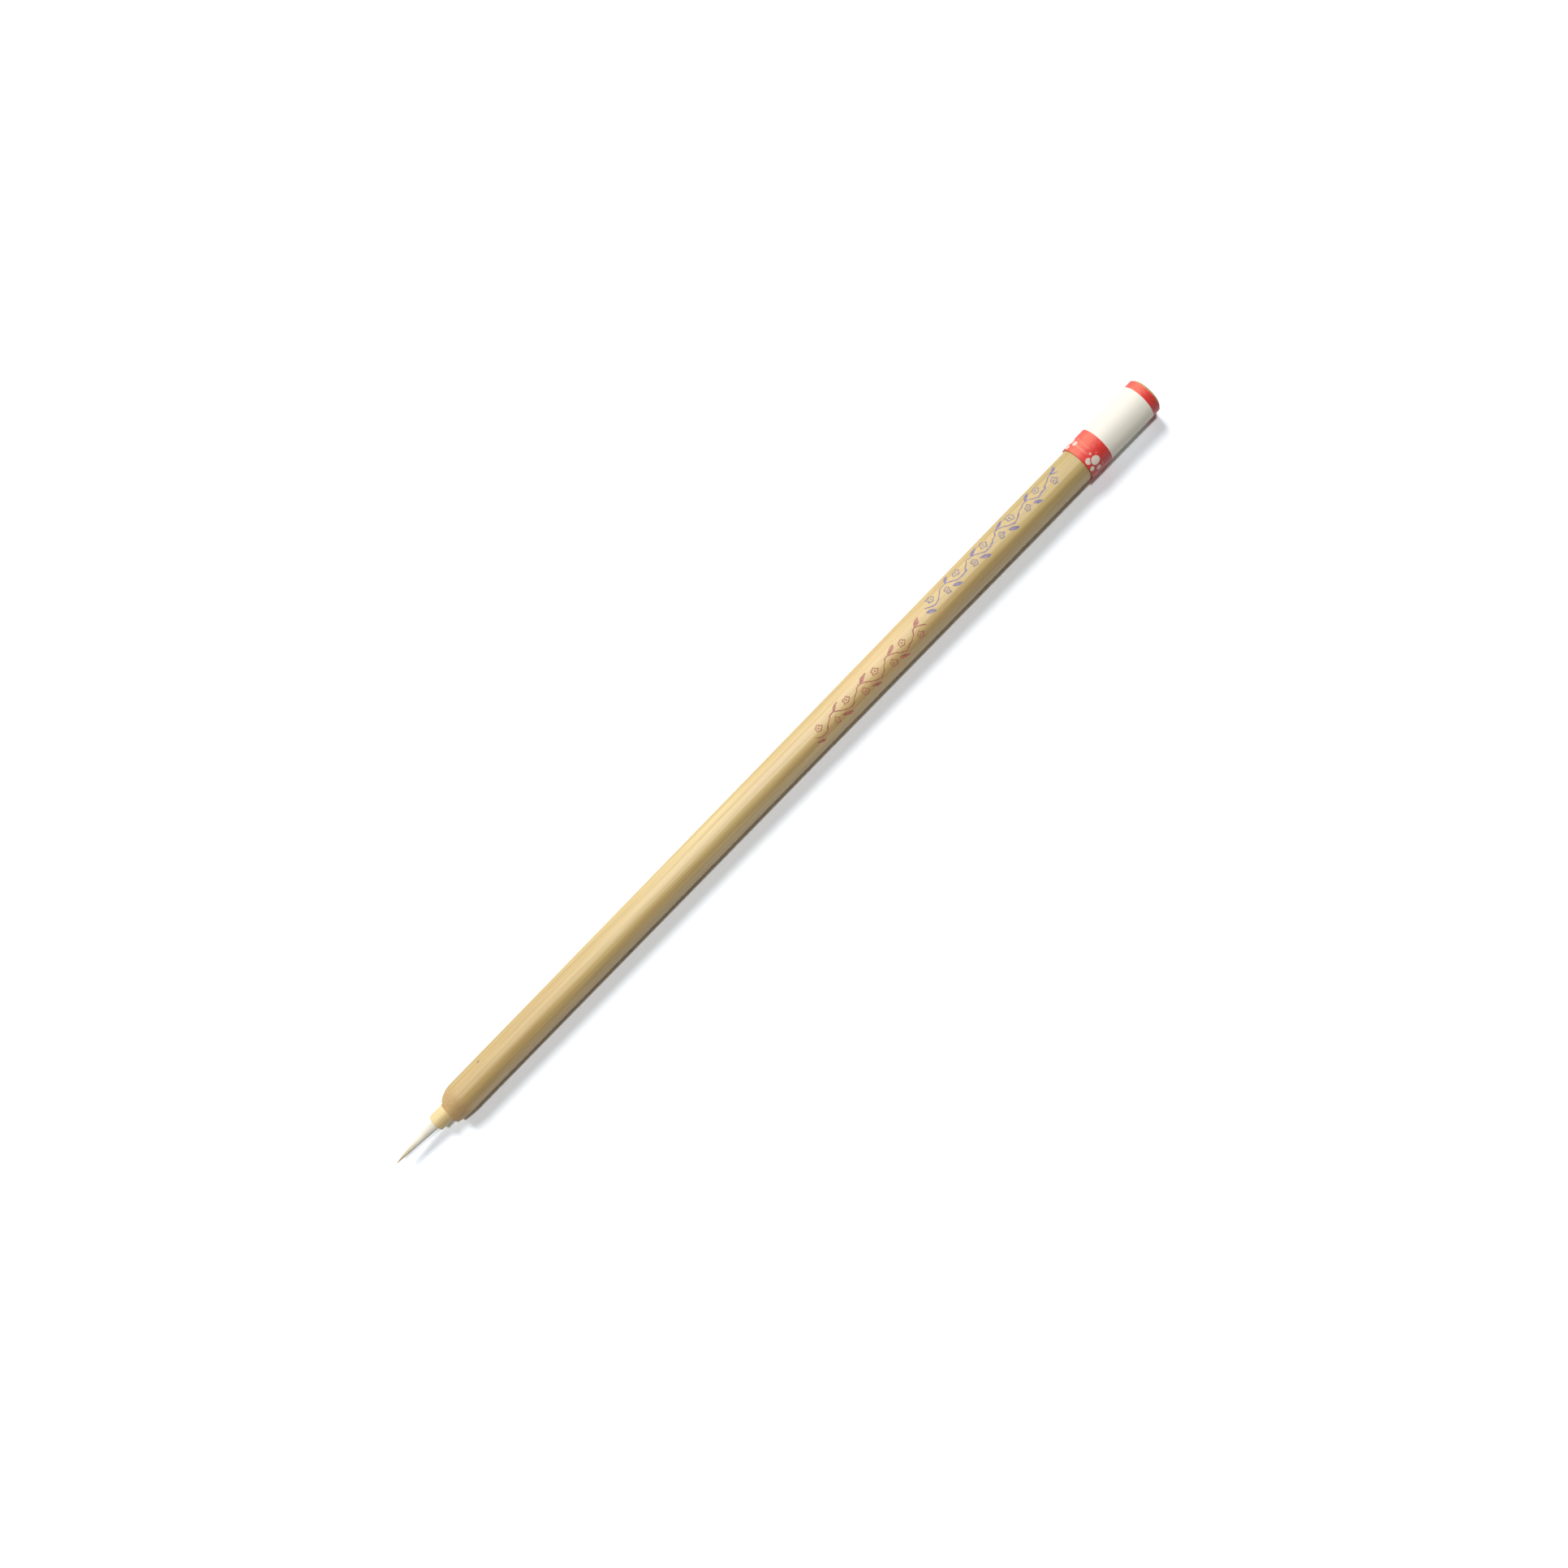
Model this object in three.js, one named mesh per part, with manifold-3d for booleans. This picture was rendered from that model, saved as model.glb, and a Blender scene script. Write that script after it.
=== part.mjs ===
// A small ink painting brush with a bamboo handle, lying on its side.
// Lengths are in millimetres. The axis runs along X, with the hair tip towards -X and the butt towards +X.
// x = 0 is the middle of the whole length, and the label's lowest flat lies on z = 0.

import * as THREE from 'three';
import { mergeGeometries, mergeVertices } from 'three/addons/utils/BufferGeometryUtils.js';
import Module from 'manifold-3d';

// Every round piece is turned with this many flats. It is a multiple of 4, so one flat faces straight down.
const ROUND_SIDES = 28;

// Handle
const HANDLE_LENGTH = 195.7;
const HANDLE_FRONT_DIAMETER = 6.9;
const HANDLE_MIDDLE_DIAMETER = 7.1;
const HANDLE_REAR_DIAMETER = 7.35;
const NOSE_LENGTH = 4.1;
const NOSE_FACE_DIAMETER = 4.3;
const BUTT_EDGE_ROUND = 0.32;
const PITH_HOLE_DIAMETER = 1.6;
const SOCKET_DEPTH = 8.2;
const REAR_STRAIGHT_LENGTH = 20;
const NOSE_STEPS = 6;
const EDGE_STEPS = 3;
const DOME_STEPS = 4;

// Ferrule
const FERRULE_DIAMETER = 3.65;
const FERRULE_EXPOSED_LENGTH = 3.4;
const FERRULE_BORE_DIAMETER = 2.36;
const FERRULE_EDGE_ROUND = 0.2;
const MOUTH_FLARE_DIAMETER = 2.8;
const MOUTH_FLARE_DEPTH = 0.35;
const FERRULE_TO_SOCKET_FLOOR = 0.2;

// Glue, paste and seats
const GLUE_THICKNESS = 0.12;
const GLUE_SET_BACK = 0.3;
const PASTE_THICKNESS = 0.045;
const PASTE_SET_BACK = 0.4;
const SEAT_CLEARANCE = 0.01;

// Tuft: the free hairs stand in rings round the axis and draw together in straight lines towards the point
const TUFT_FREE_LENGTH = 11;
const TUFT_MOUTH_DIAMETER = 2.04;
const TUFT_TAPER = 0.9;
const HAIR_PITCH = 0.088;
const HAIR_WIDTH = 0.062;
const HAIR_FULLNESS = 1.1;
const CORE_DIAMETER = 1.24;
const BELLY_DIAMETER = 1.64;
const BUNDLE_GAP = 0.015;
const HAIR_TO_SLICE_EDGE = 0.02;
const SLICE_THICKNESS = 0.35;
const CORE_REACH = [0.84, 1];
const BELLY_REACH = [0.5, 0.66];
const COVER_REACH = [0.64, 0.88];
const INNER_LENGTH_SHARE = 0.5;
const RING_TURN = 0.382;
const GOLDEN_SHARE = 0.61803399;
const TWIST_STRIDE = 3;
const TUFT_BEND_DEGREES = 45;

// Root of the tuft inside the ferrule
const ROOT_SWING_ROOM = 0.08;
const ROOT_LENGTH = 5.4;
const ROOT_DIAMETER = 2.2;
const ROOT_CORNER = 0.2;
const ROSIN_LENGTH = 1.5;
const ROSIN_ROUND = 0.8;

// Thread wound round the root
const THREAD_DIAMETER = 0.18;
const THREAD_LOOPS = 4;
const THREAD_PITCH = 0.68;
const THREAD_TO_ROOT = 0.02;
const THREAD_SIDES = 6;
const THREAD_STEPS_A_LOOP = 24;
const LEAST_WINDING_GAP = 0.4;

// Label
const LABEL_LENGTH = 18.9;
const LABEL_TO_BUTT = 0.34;
const PAPER_THICKNESS = 0.135;
const PAPER_LAYERS = 2;
const LAP_FIRST_CORNER = 15;
const LAP_FLATS = 3;

// Places and radii that follow from the sizes
const HALF_FLAT = Math.PI / ROUND_SIDES;
const TOTAL_LENGTH = TUFT_FREE_LENGTH + FERRULE_EXPOSED_LENGTH + HANDLE_LENGTH;
const TIP_X = -TOTAL_LENGTH / 2;
const MOUTH_X = TIP_X + TUFT_FREE_LENGTH;
const NOSE_X = MOUTH_X + FERRULE_EXPOSED_LENGTH;
const SOCKET_FLOOR_X = NOSE_X + SOCKET_DEPTH;
const BUTT_X = NOSE_X + HANDLE_LENGTH;
const FERRULE_REAR_X = SOCKET_FLOOR_X - FERRULE_TO_SOCKET_FLOOR;
const GLUE_INNER_RADIUS = FERRULE_DIAMETER / 2 + SEAT_CLEARANCE;
const GLUE_OUTER_RADIUS = GLUE_INNER_RADIUS + GLUE_THICKNESS;
const SOCKET_RADIUS = GLUE_OUTER_RADIUS + SEAT_CLEARANCE;
const LABEL_REAR_X = BUTT_X - LABEL_TO_BUTT;
const LABEL_FRONT_X = LABEL_REAR_X - LABEL_LENGTH;
const PASTE_INNER_RADIUS = HANDLE_REAR_DIAMETER / 2 + SEAT_CLEARANCE;
const PASTE_OUTER_RADIUS = PASTE_INNER_RADIUS + PASTE_THICKNESS;
const LABEL_INNER_RADIUS = PASTE_OUTER_RADIUS + SEAT_CLEARANCE;
const LABEL_OUTER_RADIUS = LABEL_INNER_RADIUS + PAPER_LAYERS * PAPER_THICKNESS;
const AXIS_HEIGHT = LABEL_OUTER_RADIUS;
const ROOT_FRONT_X = MOUTH_X + rootSetBack();
const ROOT_REAR_X = ROOT_FRONT_X + ROOT_LENGTH;
const WAIST_RADIUS = ROOT_DIAMETER / 2 - THREAD_TO_ROOT - THREAD_DIAMETER;
const THREAD_RADIUS = WAIST_RADIUS + THREAD_TO_ROOT + THREAD_DIAMETER / 2;

const wasm = await Module();
wasm.setup();

// The radius at the corners of a round piece with this radius across its flats.
function cornerRadius(radius) {
  return radius / Math.cos(HALF_FLAT);
}

// How far behind the mouth the root starts, so that the bent tuft's slice swings clear of it.
function rootSetBack() {
  const bend = THREE.MathUtils.degToRad(TUFT_BEND_DEGREES);
  const edge = cornerRadius(TUFT_MOUTH_DIAMETER / 2);
  return edge * Math.sin(bend) + SLICE_THICKNESS * Math.cos(bend) + ROOT_SWING_ROOM;
}

function material(color, roughness) {
  return new THREE.MeshStandardMaterial({ color, roughness, metalness: 0 });
}

// A closed profile of [x, radius across flats] points turned round X. The inside comes first, towards +X.
function turned(profile) {
  const points = profile.map(([x, radius]) => new THREE.Vector2(cornerRadius(radius), x)).reverse();
  points.push(points[0].clone());
  const geometry = new THREE.LatheGeometry(points, ROUND_SIDES, HALF_FLAT);
  geometry.rotateZ(-Math.PI / 2);
  return geometry;
}

// A plain sleeve between two places along X.
function sleeve(startX, endX, innerRadius, outerRadius) {
  return turned([
    [startX, innerRadius],
    [endX, innerRadius],
    [endX, outerRadius],
    [startX, outerRadius],
  ]);
}

// Points of a quarter ellipse between two places, which ends level with the axis.
function roundOver(startX, startRadius, endX, endRadius, steps) {
  return Array.from({ length: steps + 1 }, (_, index) => {
    const angle = (index / steps) * (Math.PI / 2);
    const x = endX - (endX - startX) * Math.cos(angle);
    return [x, startRadius + (endRadius - startRadius) * Math.sin(angle)];
  });
}

function solidFrom(geometry) {
  const bare = geometry.index ? geometry.toNonIndexed() : geometry.clone();
  bare.deleteAttribute('normal');
  bare.deleteAttribute('uv');
  const merged = mergeVertices(bare, 1e-5);
  return new wasm.Manifold(
    new wasm.Mesh({
      numProp: 3,
      vertProperties: merged.attributes.position.array,
      triVerts: new Uint32Array(merged.index.array),
    }),
  );
}

function geometryFrom(solid) {
  const mesh = solid.getMesh();
  const geometry = new THREE.BufferGeometry();
  geometry.setAttribute('position', new THREE.BufferAttribute(new Float32Array(mesh.vertProperties), 3));
  geometry.setIndex(new THREE.BufferAttribute(new Uint32Array(mesh.triVerts), 1));
  geometry.computeVertexNormals();
  return geometry;
}

// Points of the nose's outline: a parabola that meets the stem level.
function noseProfile() {
  const stemRadius = HANDLE_FRONT_DIAMETER / 2;
  const drop = stemRadius - NOSE_FACE_DIAMETER / 2;
  return Array.from({ length: NOSE_STEPS + 1 }, (_, index) => {
    const share = index / NOSE_STEPS;
    return [NOSE_X + share * NOSE_LENGTH, stemRadius - drop * (1 - share) ** 2];
  });
}

// The bamboo stem: rounded nose, slightly thicker towards the butt, socket in front and pith hole behind.
function handleGeometry() {
  const middleX = (NOSE_X + BUTT_X) / 2;
  const rearRadius = HANDLE_REAR_DIAMETER / 2;
  const butt = roundOver(
    BUTT_X,
    rearRadius - BUTT_EDGE_ROUND,
    BUTT_X - BUTT_EDGE_ROUND,
    rearRadius,
    EDGE_STEPS,
  );
  const outside = [
    ...noseProfile(),
    [middleX, HANDLE_MIDDLE_DIAMETER / 2],
    [LABEL_FRONT_X - REAR_STRAIGHT_LENGTH, rearRadius],
    ...butt.reverse(),
  ];
  const inside = [
    [NOSE_X, SOCKET_RADIUS],
    [SOCKET_FLOOR_X, SOCKET_RADIUS],
    [SOCKET_FLOOR_X, PITH_HOLE_DIAMETER / 2],
    [BUTT_X, PITH_HOLE_DIAMETER / 2],
  ];
  return turned([...inside, ...outside.reverse()]);
}

// The pale sleeve: its front edge is eased outside and its mouth flares, so that bent hairs clear it.
function ferruleGeometry() {
  const outerRadius = FERRULE_DIAMETER / 2;
  const boreRadius = FERRULE_BORE_DIAMETER / 2;
  const edge = roundOver(
    MOUTH_X,
    outerRadius - FERRULE_EDGE_ROUND,
    MOUTH_X + FERRULE_EDGE_ROUND,
    outerRadius,
    EDGE_STEPS,
  );
  return turned([
    [MOUTH_X, MOUTH_FLARE_DIAMETER / 2],
    [MOUTH_X + MOUTH_FLARE_DEPTH, boreRadius],
    [FERRULE_REAR_X, boreRadius],
    [FERRULE_REAR_X, outerRadius],
    ...edge.reverse(),
  ]);
}

function glueGeometry() {
  return sleeve(NOSE_X + GLUE_SET_BACK, FERRULE_REAR_X, GLUE_INNER_RADIUS, GLUE_OUTER_RADIUS);
}

// The set butt ends of the hairs: a plug with a waist where the thread lies.
function rootGeometry() {
  const radius = ROOT_DIAMETER / 2;
  const waistLength = (THREAD_LOOPS + 1) * THREAD_PITCH;
  const middleX = (ROOT_FRONT_X + ROOT_REAR_X) / 2;
  const waistStartX = middleX - waistLength / 2;
  const waistEndX = middleX + waistLength / 2;
  return turned([
    [ROOT_FRONT_X, 0],
    [ROOT_REAR_X, 0],
    [ROOT_REAR_X, radius - ROOT_CORNER],
    [ROOT_REAR_X - ROOT_CORNER, radius],
    [waistEndX + ROOT_CORNER, radius],
    [waistEndX, WAIST_RADIUS],
    [waistStartX, WAIST_RADIUS],
    [waistStartX - ROOT_CORNER, radius],
    [ROOT_FRONT_X + ROOT_CORNER, radius],
    [ROOT_FRONT_X, radius - ROOT_CORNER],
  ]);
}

// The drop of rosin that closes the root's rear end.
function rosinGeometry() {
  const startX = ROOT_REAR_X + SEAT_CLEARANCE;
  const radius = ROOT_DIAMETER / 2;
  const dome = roundOver(startX + ROSIN_LENGTH, 0, startX + ROSIN_LENGTH - ROSIN_ROUND, radius, DOME_STEPS);
  return turned([[startX, 0], ...dome, [startX, radius]]);
}

// The middle line of the thread: a helix round the root, with each end straight for one thread diameter.
class ThreadPath extends THREE.Curve {
  getPoint(share, target = new THREE.Vector3()) {
    const loopLength = Math.hypot(2 * Math.PI * THREAD_RADIUS, THREAD_PITCH);
    const wholeLength = THREAD_LOOPS * loopLength + 2 * THREAD_DIAMETER;
    const along = share * wholeLength - THREAD_DIAMETER;
    const onHelix = THREE.MathUtils.clamp(along, 0, THREAD_LOOPS * loopLength);
    const turn = (onHelix / loopLength) * 2 * Math.PI;
    const straight = along - onHelix;
    const sideways = (straight * 2 * Math.PI * THREAD_RADIUS) / loopLength;
    const startX = (ROOT_FRONT_X + ROOT_REAR_X - THREAD_LOOPS * THREAD_PITCH) / 2;
    return target.set(
      startX + (along / loopLength) * THREAD_PITCH,
      THREAD_RADIUS * Math.cos(turn) - sideways * Math.sin(turn),
      THREAD_RADIUS * Math.sin(turn) + sideways * Math.cos(turn),
    );
  }
}

// The least gap between one loop of the thread and the next, measured between points of its middle line.
function leastThreadGap(path) {
  const count = THREAD_LOOPS * THREAD_STEPS_A_LOOP;
  const points = path.getSpacedPoints(count);
  let least = Infinity;
  points.forEach((point, index) => {
    points.slice(index + THREAD_STEPS_A_LOOP / 2).forEach((other) => {
      least = Math.min(least, point.distanceTo(other));
    });
  });
  return least - THREAD_DIAMETER;
}

function threadGeometry() {
  const path = new ThreadPath();
  const gap = leastThreadGap(path);
  console.log(`root_thread: least gap to itself ${gap.toFixed(3)} mm, wanted over ${LEAST_WINDING_GAP} mm`);
  const corner = THREAD_DIAMETER / 2;
  const section = new THREE.Shape(
    Array.from({ length: THREAD_SIDES }, (_, index) => {
      const angle = (index / THREAD_SIDES) * 2 * Math.PI;
      return new THREE.Vector2(corner * Math.cos(angle), corner * Math.sin(angle));
    }),
  );
  const steps = THREAD_LOOPS * THREAD_STEPS_A_LOOP;
  return new THREE.ExtrudeGeometry(section, { steps, extrudePath: path, bevelEnabled: false });
}

// Where the hairs of one bundle stand: rings round the axis between two radii, each turned a little further.
function hairPlaces(innerRadius, outerRadius) {
  const inset = HAIR_WIDTH / Math.sqrt(3) + HAIR_TO_SLICE_EDGE;
  const firstRadius = innerRadius > 0 ? innerRadius + inset : 0;
  const lastRadius = outerRadius - inset;
  const steps = Math.floor((lastRadius - firstRadius) / HAIR_PITCH);
  const places = [];
  for (let ring = 0; ring <= steps; ring += 1) {
    const radius = THREE.MathUtils.lerp(firstRadius, lastRadius, steps > 0 ? ring / steps : 0);
    const count = Math.max(1, Math.floor((2 * Math.PI * radius) / HAIR_PITCH));
    for (let index = 0; index < count; index += 1) {
      places.push({ radius, angle: ((index + ring * RING_TURN) / count) * 2 * Math.PI });
    }
  }
  return places;
}

// A share between 0 and 1 that looks random and is the same each time.
function spreadShare(index) {
  return (index * GOLDEN_SHARE) % 1;
}

// One hair, rooted halfway into its slice: three sides, full to its middle and then drawn out to a point.
function hairGeometry(place, reach, twist) {
  const scaleAt = (along) => 1 - TUFT_TAPER * (along / TUFT_FREE_LENGTH);
  const centreAt = (along) => {
    const radius = place.radius * scaleAt(along);
    return [MOUTH_X - along, radius * Math.cos(place.angle), radius * Math.sin(place.angle)];
  };
  const sectionAt = (along, width) => {
    const [x, y, z] = centreAt(along);
    const corner = width / Math.sqrt(3);
    return [0, 1, 2].map((index) => {
      const angle = twist + (index / 3) * 2 * Math.PI;
      return [x, y + corner * Math.cos(angle), z + corner * Math.sin(angle)];
    });
  };
  const length = reach * TUFT_FREE_LENGTH;
  const middle = length / 2;
  const rings = [
    sectionAt(-SLICE_THICKNESS / 2, HAIR_WIDTH),
    sectionAt(middle, HAIR_WIDTH * HAIR_FULLNESS * scaleAt(middle)),
  ];
  const point = centreAt(length);
  const faces = [[rings[0][0], rings[0][1], rings[0][2]]];
  [0, 1, 2].forEach((corner) => {
    const next = (corner + 1) % 3;
    faces.push([rings[0][corner], rings[1][corner], rings[0][next]]);
    faces.push([rings[0][next], rings[1][corner], rings[1][next]]);
    faces.push([rings[1][corner], point, rings[1][next]]);
  });
  const geometry = new THREE.BufferGeometry();
  geometry.setAttribute('position', new THREE.Float32BufferAttribute(faces.flat(2), 3));
  return geometry;
}

// One bundle of hairs: a slice of set hair at the ferrule's mouth with every hair of the bundle fused to it.
// Reach is the share of the free length that its shortest and its longest hair cover.
function bundleGeometry(innerRadius, outerRadius, [shortReach, longReach]) {
  const holeRadius = innerRadius > 0 ? innerRadius + BUNDLE_GAP : 0;
  const slice = sleeve(MOUTH_X, MOUTH_X + SLICE_THICKNESS, holeRadius, outerRadius);
  const hairs = hairPlaces(innerRadius, outerRadius).map((place, index) => {
    const towardsAxis = 1 - place.radius / outerRadius;
    const share = THREE.MathUtils.lerp(spreadShare(index), towardsAxis, INNER_LENGTH_SHARE);
    const reach = place.radius === 0 ? longReach : THREE.MathUtils.lerp(shortReach, longReach, share);
    return hairGeometry(place, reach, 2 * Math.PI * spreadShare(index * TWIST_STRIDE));
  });
  return geometryFrom(solidFrom(slice).add(solidFrom(mergeGeometries(hairs))));
}

// The wound paper, seen along the axis: a ring of flats with one more layer of paper where its end laps over.
function labelGeometry() {
  const lapRadius = LABEL_OUTER_RADIUS + PAPER_THICKNESS;
  const cornerAt = (radius, index) => {
    const angle = (2 * index + 1) * HALF_FLAT;
    const reach = cornerRadius(radius);
    return new THREE.Vector2(reach * Math.cos(angle), reach * Math.sin(angle));
  };
  const radiiAt = (index) => {
    const lapStep = index - LAP_FIRST_CORNER;
    if (lapStep === 0) {
      return [LABEL_OUTER_RADIUS, lapRadius];
    }
    if (lapStep === LAP_FLATS) {
      return [lapRadius, LABEL_OUTER_RADIUS];
    }
    return [lapStep > 0 && lapStep < LAP_FLATS ? lapRadius : LABEL_OUTER_RADIUS];
  };
  const corners = Array.from({ length: ROUND_SIDES }, (_, index) => index);
  const shape = new THREE.Shape(
    corners.flatMap((index) => radiiAt(index).map((radius) => cornerAt(radius, index))),
  );
  const hole = corners.map((index) => cornerAt(LABEL_INNER_RADIUS, index));
  shape.holes.push(new THREE.Path(hole.reverse()));
  const geometry = new THREE.ExtrudeGeometry(shape, { depth: LABEL_LENGTH, bevelEnabled: false });
  geometry.rotateX(Math.PI / 2);
  geometry.rotateZ(Math.PI / 2);
  geometry.translate(LABEL_FRONT_X, 0, 0);
  return geometry;
}

function pasteGeometry() {
  return sleeve(
    LABEL_FRONT_X + PASTE_SET_BACK,
    LABEL_REAR_X - PASTE_SET_BACK,
    PASTE_INNER_RADIUS,
    PASTE_OUTER_RADIUS,
  );
}

function piece(name, geometry, surface) {
  const mesh = new THREE.Mesh(geometry, surface);
  mesh.name = name;
  return mesh;
}

const handle = new THREE.Group();
handle.add(
  piece('bamboo_handle', handleGeometry(), material(0xd9bd83, 0.5)),
  piece('bamboo_ferrule', ferruleGeometry(), material(0xf0dca4, 0.55)),
  piece('socket_glue', glueGeometry(), material(0xb98a45, 0.35)),
  piece('hair_roots', rootGeometry(), material(0xcdb68c, 0.7)),
  piece('root_thread', threadGeometry(), material(0xe6e0cf, 0.8)),
  piece('root_rosin', rosinGeometry(), material(0x8a4a17, 0.25)),
  piece('label_paste', pasteGeometry(), material(0xe9e2cc, 0.7)),
  piece('paper_label', labelGeometry(), material(0xf1ede0, 0.7)),
);

const tuft = new THREE.Group();
tuft.add(
  piece('core_hairs', bundleGeometry(0, CORE_DIAMETER / 2, CORE_REACH), material(0xa9744a, 0.6)),
  piece(
    'belly_hairs',
    bundleGeometry(CORE_DIAMETER / 2, BELLY_DIAMETER / 2, BELLY_REACH),
    material(0xe8dfc9, 0.65),
  ),
  piece(
    'cover_hairs',
    bundleGeometry(BELLY_DIAMETER / 2, TUFT_MOUTH_DIAMETER / 2, COVER_REACH),
    material(0xf6f1e2, 0.65),
  ),
);

const brush = new THREE.Group();
brush.add(handle, tuft);
brush.position.z = AXIS_HEIGHT;

export default brush;
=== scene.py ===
"""Looks of a small ink painting brush: bamboo stem, pale ferrule, hair tuft and printed label.

Sizes are in millimetres about the brush's axis. Finished meshes are in metres in the shared frame.
"""

import logging
import math
import random
from dataclasses import dataclass
from enum import Enum
from functools import reduce
from typing import Any, Callable, Iterable, Mapping, Sequence

import bmesh
import bpy
from mathutils import Matrix, Vector


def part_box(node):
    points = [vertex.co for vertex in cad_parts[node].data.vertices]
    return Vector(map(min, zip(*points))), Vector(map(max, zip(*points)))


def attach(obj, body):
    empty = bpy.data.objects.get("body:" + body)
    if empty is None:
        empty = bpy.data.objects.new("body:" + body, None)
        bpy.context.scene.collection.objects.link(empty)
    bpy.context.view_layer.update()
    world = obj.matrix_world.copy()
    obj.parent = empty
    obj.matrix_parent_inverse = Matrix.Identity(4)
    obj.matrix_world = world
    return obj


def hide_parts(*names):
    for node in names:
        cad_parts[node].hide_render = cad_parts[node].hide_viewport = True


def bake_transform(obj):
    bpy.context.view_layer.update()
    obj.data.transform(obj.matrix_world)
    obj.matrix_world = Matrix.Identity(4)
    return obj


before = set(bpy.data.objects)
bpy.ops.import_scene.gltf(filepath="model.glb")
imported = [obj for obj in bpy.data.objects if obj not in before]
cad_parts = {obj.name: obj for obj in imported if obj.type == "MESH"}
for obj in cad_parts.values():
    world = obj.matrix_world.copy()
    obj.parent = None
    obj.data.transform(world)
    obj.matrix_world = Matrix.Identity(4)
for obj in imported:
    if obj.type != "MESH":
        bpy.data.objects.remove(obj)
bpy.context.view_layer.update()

LOG = logging.getLogger("ink_brush")

MM = 0.001
AXIS_HEIGHT = 4.01
MOUTH_X = -94.05
NOSE_X = -90.65
LABEL_X = 85.81
BUTT_X = 105.05
FERRULE_RADIUS = 1.825
WELD = 1e-5
FINE_WELD = 1e-6

Colour = tuple[float, float, float, float]
Pair = tuple[float, float]
Point = tuple[float, float, float]
Stops = tuple[tuple[float, Colour], ...]


def srgb(red: int, green: int, blue: int) -> Colour:
    """Turns a colour as seen on a screen into the linear values that shaders take.

    Args:
        red: Red from 0 to 255.
        green: Green from 0 to 255.
        blue: Blue from 0 to 255.

    Returns:
        Linear red, green, blue and an alpha of 1.
    """
    shares = (channel / 255 for channel in (red, green, blue))
    linear = (s / 12.92 if s <= 0.04045 else ((s + 0.055) / 1.055) ** 2.4 for s in shares)
    return (*linear, 1.0)


def blend_numbers(low: float, high: float, share: float) -> float:
    """Returns the number that lies at a share of the way from low to high."""
    return low + (high - low) * share


def eased(start: float, end: float, value: float) -> float:
    """Returns 0 before start, 1 after end and a smooth rise between them."""
    share = min(1.0, max(0.0, (value - start) / (end - start)))
    return share * share * (3 - 2 * share)


def math_method(operation: str, *fixed: float) -> Callable[..., "Wire"]:
    """Returns a method that puts its wire, the other value and any fixed one into a Math node."""
    return lambda wire, *others: wire.math(operation, *others, *fixed)


class Wire:
    """A shader socket that takes part in Python expressions. Each operator adds one Math node."""

    def __init__(self, board: "Board", socket: bpy.types.NodeSocket | None) -> None:
        """Keeps the board and the socket that the wire comes from."""
        self.board = board
        self.socket = socket

    def math(self, operation: str, *others: "Wire | float") -> "Wire":
        """Returns the result of a Math node whose first input is this wire."""
        return self.board.math(operation, self, *others)

    __add__ = __radd__ = math_method("ADD")
    __sub__ = math_method("SUBTRACT")
    __mul__ = __rmul__ = math_method("MULTIPLY")
    __truediv__ = math_method("DIVIDE")
    __neg__ = math_method("MULTIPLY", -1.0)
    __abs__ = math_method("ABSOLUTE")
    most = math_method("MAXIMUM")

    def __rsub__(self, other: float) -> "Wire":
        """Returns number - wire."""
        return self.board.math("SUBTRACT", other, self)

    def above(self, edge: float, softness: float) -> "Wire":
        """Returns a mask that is 1 above the edge and changes over the softness to either side."""
        limits = {"From Min": edge - softness, "From Max": edge + softness}
        settings = {"interpolation_type": "SMOOTHSTEP"}
        return self.board.node("ShaderNodeMapRange", settings, {"Value": self, **limits})

    def below(self, edge: float, softness: float) -> "Wire":
        """Returns a mask that is 1 where the value is below the edge."""
        return 1 - self.above(edge, softness)

    def near(self, middle: "Wire | float", reach: float, softness: float) -> "Wire":
        """Returns a mask that is 1 within reach of the middle."""
        return abs(self - middle).below(reach, softness)


def distance(along: Wire, across: Wire) -> Wire:
    """Returns how far a place is from the point from which its two parts are measured."""
    return (along * along + across * across).math("SQRT")


def most_of(masks: Iterable[Wire]) -> Wire:
    """Returns the largest of several masks."""
    return reduce(Wire.most, masks)


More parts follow.
